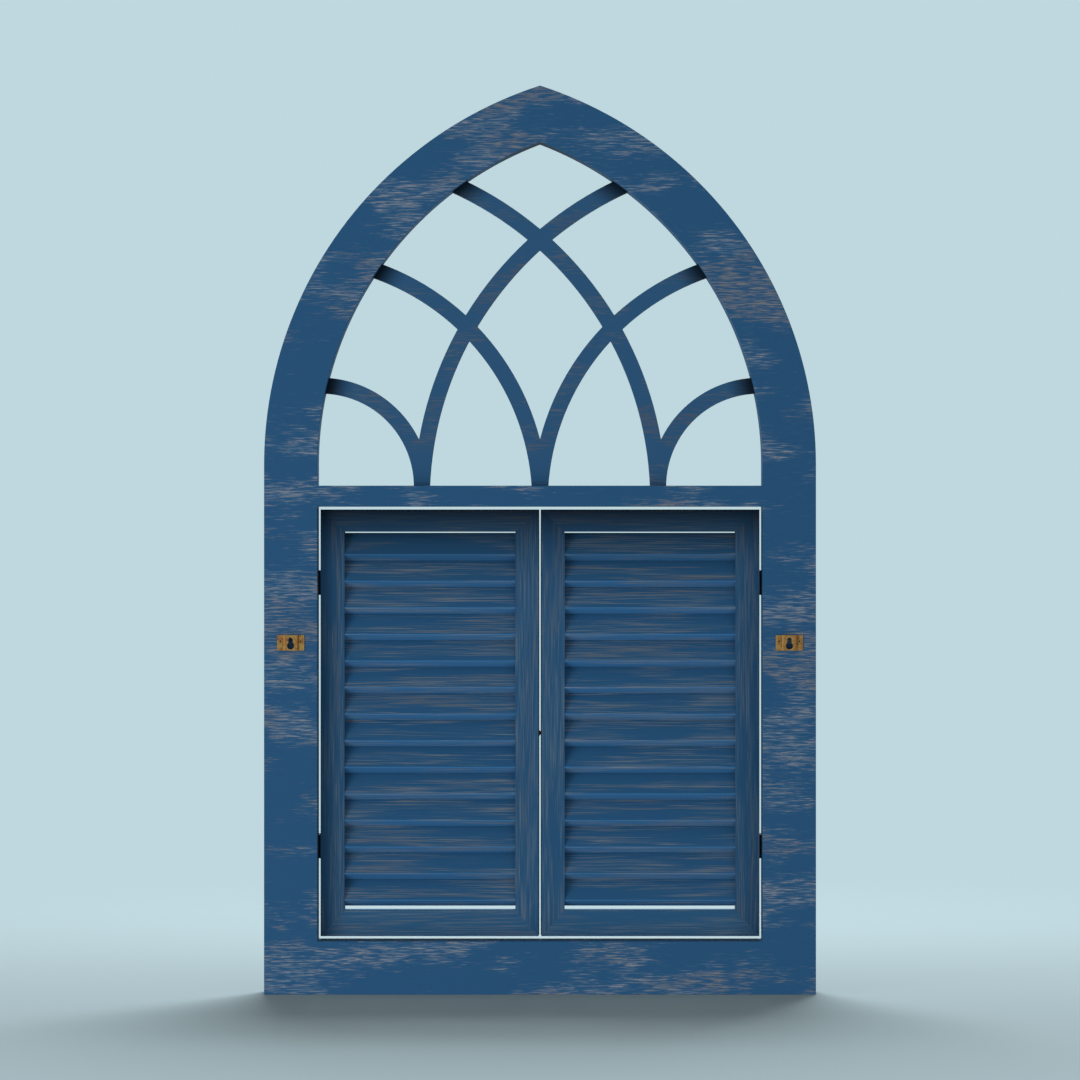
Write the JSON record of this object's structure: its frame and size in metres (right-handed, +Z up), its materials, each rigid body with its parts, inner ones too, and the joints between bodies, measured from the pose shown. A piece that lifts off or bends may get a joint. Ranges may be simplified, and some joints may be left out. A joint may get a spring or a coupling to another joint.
{
  "type": "wooden window frame",
  "caption": "Pointed-arch window frame of painted wood with open intersecting tracery above hinged louvred shutters, hung on a wall by keyhole plates.",
  "frame": {"origin": "middle of the underside of the bottom rail, midway through the frame's depth", "axes": "+X across the frame, +Y out of the wall towards the room, on the side that the shutters open to, +Z up to the point of the arch"},
  "size_m": [0.61, 0.0529, 1.0048],
  "materials": {
    "frame_paint": "worn satin blue paint",
    "tracery_paint": "worn satin blue paint",
    "shutter_paint": "worn satin blue paint",
    "slat_paint": "worn satin blue paint",
    "hinge_black": "black lacquered steel",
    "hanger_brass": "mottled old brass",
    "catch_brass": "dull brass",
    "spring_steel": "bright wire"
  },
  "bodies": {
    "frame": {"bottom_rail": "frame_paint", "left_stile": "frame_paint", "right_stile": "frame_paint", "transom": "frame_paint", "left_arch": "frame_paint", "right_arch": "frame_paint", "tracery": "tracery_paint", "left_hanger": "hanger_brass", "right_hanger": "hanger_brass", "hanger_screws": "hanger_brass", "left_upper_frame_leaf": "hinge_black", "left_lower_frame_leaf": "hinge_black", "right_upper_frame_leaf": "hinge_black", "right_lower_frame_leaf": "hinge_black", "hinge_pins": "hinge_black"},
    "left_shutter": {"left_hinge_stile": "shutter_paint", "left_closing_stile": "shutter_paint", "left_top_rail": "shutter_paint", "left_bottom_rail": "shutter_paint", "left_slat_01": "slat_paint", "left_slat_02": "slat_paint", "left_slat_03": "slat_paint", "left_slat_04": "slat_paint", "left_slat_05": "slat_paint", "left_slat_06": "slat_paint", "left_slat_07": "slat_paint", "left_slat_08": "slat_paint", "left_slat_09": "slat_paint", "left_slat_10": "slat_paint", "left_slat_11": "slat_paint", "left_slat_12": "slat_paint", "left_slat_13": "slat_paint", "left_slat_14": "slat_paint", "left_upper_shutter_leaf": "hinge_black", "left_lower_shutter_leaf": "hinge_black", "catch_barrel": "catch_brass", "catch_spring": "spring_steel"},
    "right_shutter": {"right_hinge_stile": "shutter_paint", "right_closing_stile": "shutter_paint", "right_top_rail": "shutter_paint", "right_bottom_rail": "shutter_paint", "right_slat_01": "slat_paint", "right_slat_02": "slat_paint", "right_slat_03": "slat_paint", "right_slat_04": "slat_paint", "right_slat_05": "slat_paint", "right_slat_06": "slat_paint", "right_slat_07": "slat_paint", "right_slat_08": "slat_paint", "right_slat_09": "slat_paint", "right_slat_10": "slat_paint", "right_slat_11": "slat_paint", "right_slat_12": "slat_paint", "right_slat_13": "slat_paint", "right_slat_14": "slat_paint", "right_upper_shutter_leaf": "hinge_black", "right_lower_shutter_leaf": "hinge_black", "catch_strike": "catch_brass"},
    "catch_ball": {"catch_ball": "catch_brass"}
  },
  "joints": [
    {"name": "left_shutter_swing", "type": "hinge", "parent": "frame", "child": "left_shutter", "pos_m": [-0.2446, 0.0248, 0.3], "axis": [0, 0, 1], "range_deg": [0, 180]},
    {"name": "right_shutter_swing", "type": "hinge", "parent": "frame", "child": "right_shutter", "pos_m": [0.2446, 0.0248, 0.3], "axis": [0, 0, -1], "range_deg": [0, 180]},
    {"name": "catch_ball_press", "type": "slide", "parent": "left_shutter", "child": "catch_ball", "axis": [-1, 0, 0], "range_m": [0, 0.0018], "stiffness_N_per_m": 500, "springref_m": -0.001, "deforming": ["catch_spring"]}
  ]
}
